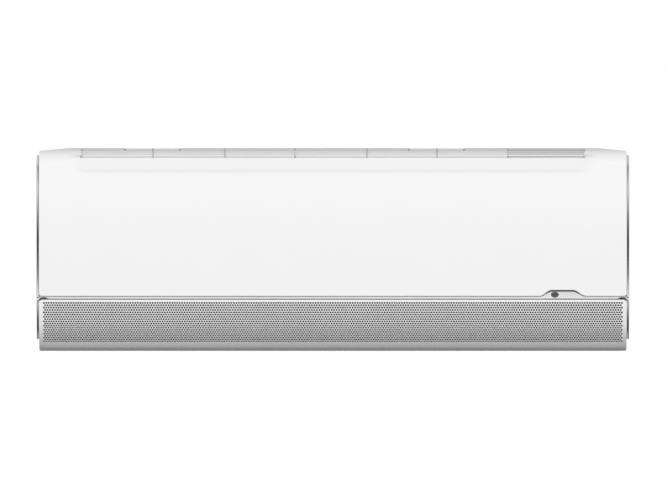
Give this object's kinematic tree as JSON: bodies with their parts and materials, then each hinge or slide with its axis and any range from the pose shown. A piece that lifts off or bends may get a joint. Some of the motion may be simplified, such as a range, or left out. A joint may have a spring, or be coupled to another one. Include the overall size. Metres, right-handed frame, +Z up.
{
  "type": "mini split indoor unit",
  "caption": "Wall-hung air conditioner indoor unit with a smooth bowed front panel, bright end trims and a perforated outlet flap that swings down from the bottom.",
  "frame": {"origin": "middle of the wall plate's back face, where it lies on the wall", "axes": "+X runs along the unit to the right as seen from the room, +Z is up and the room lies towards -Y"},
  "size_m": [0.94, 0.1929, 0.322],
  "materials": {
    "shell_white": "satin",
    "panel_white": "gloss",
    "filter_white": "satin",
    "filter_mesh": "matte",
    "silver_trim": "polished",
    "lens_dark": "gloss",
    "flap_perforated": "satin",
    "inner_white": "satin",
    "chassis_grey": "matte",
    "vane_dark": "matte",
    "zinc_steel": "satin",
    "fin_aluminium": "satin",
    "copper_tube": "satin",
    "union_brass": "satin",
    "foam": "matte",
    "fan_grey": "matte",
    "steel": "satin",
    "motor_white": "matte",
    "motor_metal": "satin",
    "board_green": "satin",
    "seal_rubber": "matte"
  },
  "bodies": {
    "body": {"cable_gland": "seal_rubber", "chassis": "chassis_grey", "control_board": "board_green", "control_box": "inner_white", "control_cover": "inner_white", "display_board": "board_green", "drain_pan": "inner_white", "drain_plug": "seal_rubber", "evaporator_bends": "copper_tube", "evaporator_fins": "fin_aluminium", "evaporator_plates": "zinc_steel", "fan_bearing": "seal_rubber", "fan_motor": "motor_white", "flap_motor": "motor_metal", "frame_screws": "steel", "front_frame": "shell_white", "gas_pipe": "copper_tube", "gas_union": "union_brass", "intake_grille": "shell_white", "liquid_pipe": "copper_tube", "liquid_union": "union_brass", "louver_motor": "motor_metal", "motor_clamp": "chassis_grey", "outlet_trim": "silver_trim", "pipe_clamp": "inner_white", "pipe_insulation": "foam", "receiver_lens": "lens_dark", "side_trim_left": "silver_trim", "side_trim_right": "silver_trim", "terminal_block": "inner_white", "vane_motor_left": "motor_metal", "vane_motor_right": "motor_metal", "vent_grille": "shell_white", "wall_plate": "zinc_steel"},
    "panel": {"front_panel": "panel_white"},
    "flap": {"flap_skin": "flap_perforated", "flap_carrier": "inner_white"},
    "flap_gear": {"flap_pinion": "inner_white"},
    "louver": {"inner_louver": "inner_white"},
    "fan": {"fan_wheel": "fan_grey", "fan_axles": "steel"},
    "filter_left": {"air_filter_left": "filter_white", "filter_mesh_left": "filter_mesh"},
    "filter_right": {"air_filter_right": "filter_white", "filter_mesh_right": "filter_mesh"},
    "button": {"manual_button": "shell_white"},
    "left_vane_1": {"vane_left_1": "vane_dark"},
    "left_vane_2": {"vane_left_2": "vane_dark"},
    "left_vane_3": {"vane_left_3": "vane_dark"},
    "left_vane_4": {"vane_left_4": "vane_dark"},
    "left_vane_5": {"vane_left_5": "vane_dark"},
    "left_vane_6": {"vane_left_6": "vane_dark"},
    "left_link": {"vane_link_left": "vane_dark"},
    "right_vane_1": {"vane_right_1": "vane_dark"},
    "right_vane_2": {"vane_right_2": "vane_dark"},
    "right_vane_3": {"vane_right_3": "vane_dark"},
    "right_vane_4": {"vane_right_4": "vane_dark"},
    "right_vane_5": {"vane_right_5": "vane_dark"},
    "right_vane_6": {"vane_right_6": "vane_dark"},
    "right_link": {"vane_link_right": "vane_dark"}
  },
  "joints": [
    {"name": "panel_hinge", "type": "hinge", "parent": "body", "child": "panel", "pos_m": [0, -0.149, 0.1574], "axis": [-1, 0, 0], "range_deg": [0, 45]},
    {"name": "flap_hinge", "type": "hinge", "parent": "body", "child": "flap", "pos_m": [0, -0.13, -0.15], "axis": [1, 0, 0], "range_deg": [0, 80]},
    {"name": "flap_gear_spin", "type": "hinge", "parent": "body", "child": "flap_gear", "pos_m": [0.45675, -0.13, -0.1225], "axis": [1, 0, 0], "range_deg": [-214, 0]},
    {"name": "louver_hinge", "type": "hinge", "parent": "body", "child": "louver", "pos_m": [0, -0.146, -0.118], "axis": [1, 0, 0], "range_deg": [0, 90]},
    {"name": "fan_spin", "type": "hinge", "parent": "body", "child": "fan", "pos_m": [0, -0.088, -0.03], "axis": [1, 0, 0], "continuous": true},
    {"name": "filter_left_slide", "type": "slide", "parent": "body", "child": "filter_left", "axis": [0, 0, 1], "range_m": [0, 0.2]},
    {"name": "filter_right_slide", "type": "slide", "parent": "body", "child": "filter_right", "axis": [0, 0, 1], "range_m": [0, 0.2]},
    {"name": "button_press", "type": "slide", "parent": "body", "child": "button", "axis": [0, 1, 0], "range_m": [0, 0.0015], "stiffness_N_per_m": 150},
    {"name": "left_vane_1_turn", "type": "hinge", "parent": "body", "child": "left_vane_1", "pos_m": [-0.39644, -0.09915, -0.12786], "axis": [0, -0.6428, 0.766], "range_deg": [-35, 35]},
    {"name": "left_vane_2_turn", "type": "hinge", "parent": "body", "child": "left_vane_2", "pos_m": [-0.32931, -0.09915, -0.12786], "axis": [0, -0.6428, 0.766], "range_deg": [-35, 35]},
    {"name": "left_vane_3_turn", "type": "hinge", "parent": "body", "child": "left_vane_3", "pos_m": [-0.26219, -0.09915, -0.12786], "axis": [0, -0.6428, 0.766], "range_deg": [-35, 35]},
    {"name": "left_vane_4_turn", "type": "hinge", "parent": "body", "child": "left_vane_4", "pos_m": [-0.19506, -0.09915, -0.12786], "axis": [0, -0.6428, 0.766], "range_deg": [-35, 35]},
    {"name": "left_vane_5_turn", "type": "hinge", "parent": "body", "child": "left_vane_5", "pos_m": [-0.12794, -0.09915, -0.12786], "axis": [0, -0.6428, 0.766], "range_deg": [-35, 35]},
    {"name": "left_vane_6_turn", "type": "hinge", "parent": "body", "child": "left_vane_6", "pos_m": [-0.06081, -0.09915, -0.12786], "axis": [0, -0.6428, 0.766], "range_deg": [-35, 35]},
    {"name": "left_link_pin", "type": "hinge", "parent": "left_vane_1", "child": "left_link", "pos_m": [-0.39644, -0.0754, -0.10793], "axis": [0, -0.6428, 0.766], "range_deg": [-35, 35]},
    {"name": "right_vane_1_turn", "type": "hinge", "parent": "body", "child": "right_vane_1", "pos_m": [0.00631, -0.09915, -0.12786], "axis": [0, -0.6428, 0.766], "range_deg": [-35, 35]},
    {"name": "right_vane_2_turn", "type": "hinge", "parent": "body", "child": "right_vane_2", "pos_m": [0.07344, -0.09915, -0.12786], "axis": [0, -0.6428, 0.766], "range_deg": [-35, 35]},
    {"name": "right_vane_3_turn", "type": "hinge", "parent": "body", "child": "right_vane_3", "pos_m": [0.14056, -0.09915, -0.12786], "axis": [0, -0.6428, 0.766], "range_deg": [-35, 35]},
    {"name": "right_vane_4_turn", "type": "hinge", "parent": "body", "child": "right_vane_4", "pos_m": [0.20769, -0.09915, -0.12786], "axis": [0, -0.6428, 0.766], "range_deg": [-35, 35]},
    {"name": "right_vane_5_turn", "type": "hinge", "parent": "body", "child": "right_vane_5", "pos_m": [0.27481, -0.09915, -0.12786], "axis": [0, -0.6428, 0.766], "range_deg": [-35, 35]},
    {"name": "right_vane_6_turn", "type": "hinge", "parent": "body", "child": "right_vane_6", "pos_m": [0.34194, -0.09915, -0.12786], "axis": [0, -0.6428, 0.766], "range_deg": [-35, 35]},
    {"name": "right_link_pin", "type": "hinge", "parent": "right_vane_1", "child": "right_link", "pos_m": [0.00631, -0.0754, -0.10793], "axis": [0, -0.6428, 0.766], "range_deg": [-35, 35]}
  ],
  "couplings": [
    {"joint": "flap_gear_spin", "follows": "flap_hinge", "ratio": -2.6667},
    {"joint": "left_vane_2_turn", "follows": "left_vane_1_turn", "ratio": 1},
    {"joint": "left_vane_3_turn", "follows": "left_vane_1_turn", "ratio": 1},
    {"joint": "left_vane_4_turn", "follows": "left_vane_1_turn", "ratio": 1},
    {"joint": "left_vane_5_turn", "follows": "left_vane_1_turn", "ratio": 1},
    {"joint": "left_vane_6_turn", "follows": "left_vane_1_turn", "ratio": 1},
    {"joint": "left_link_pin", "follows": "left_vane_1_turn", "ratio": -1},
    {"joint": "right_vane_2_turn", "follows": "right_vane_1_turn", "ratio": 1},
    {"joint": "right_vane_3_turn", "follows": "right_vane_1_turn", "ratio": 1},
    {"joint": "right_vane_4_turn", "follows": "right_vane_1_turn", "ratio": 1},
    {"joint": "right_vane_5_turn", "follows": "right_vane_1_turn", "ratio": 1},
    {"joint": "right_vane_6_turn", "follows": "right_vane_1_turn", "ratio": 1},
    {"joint": "right_link_pin", "follows": "right_vane_1_turn", "ratio": -1}
  ]
}
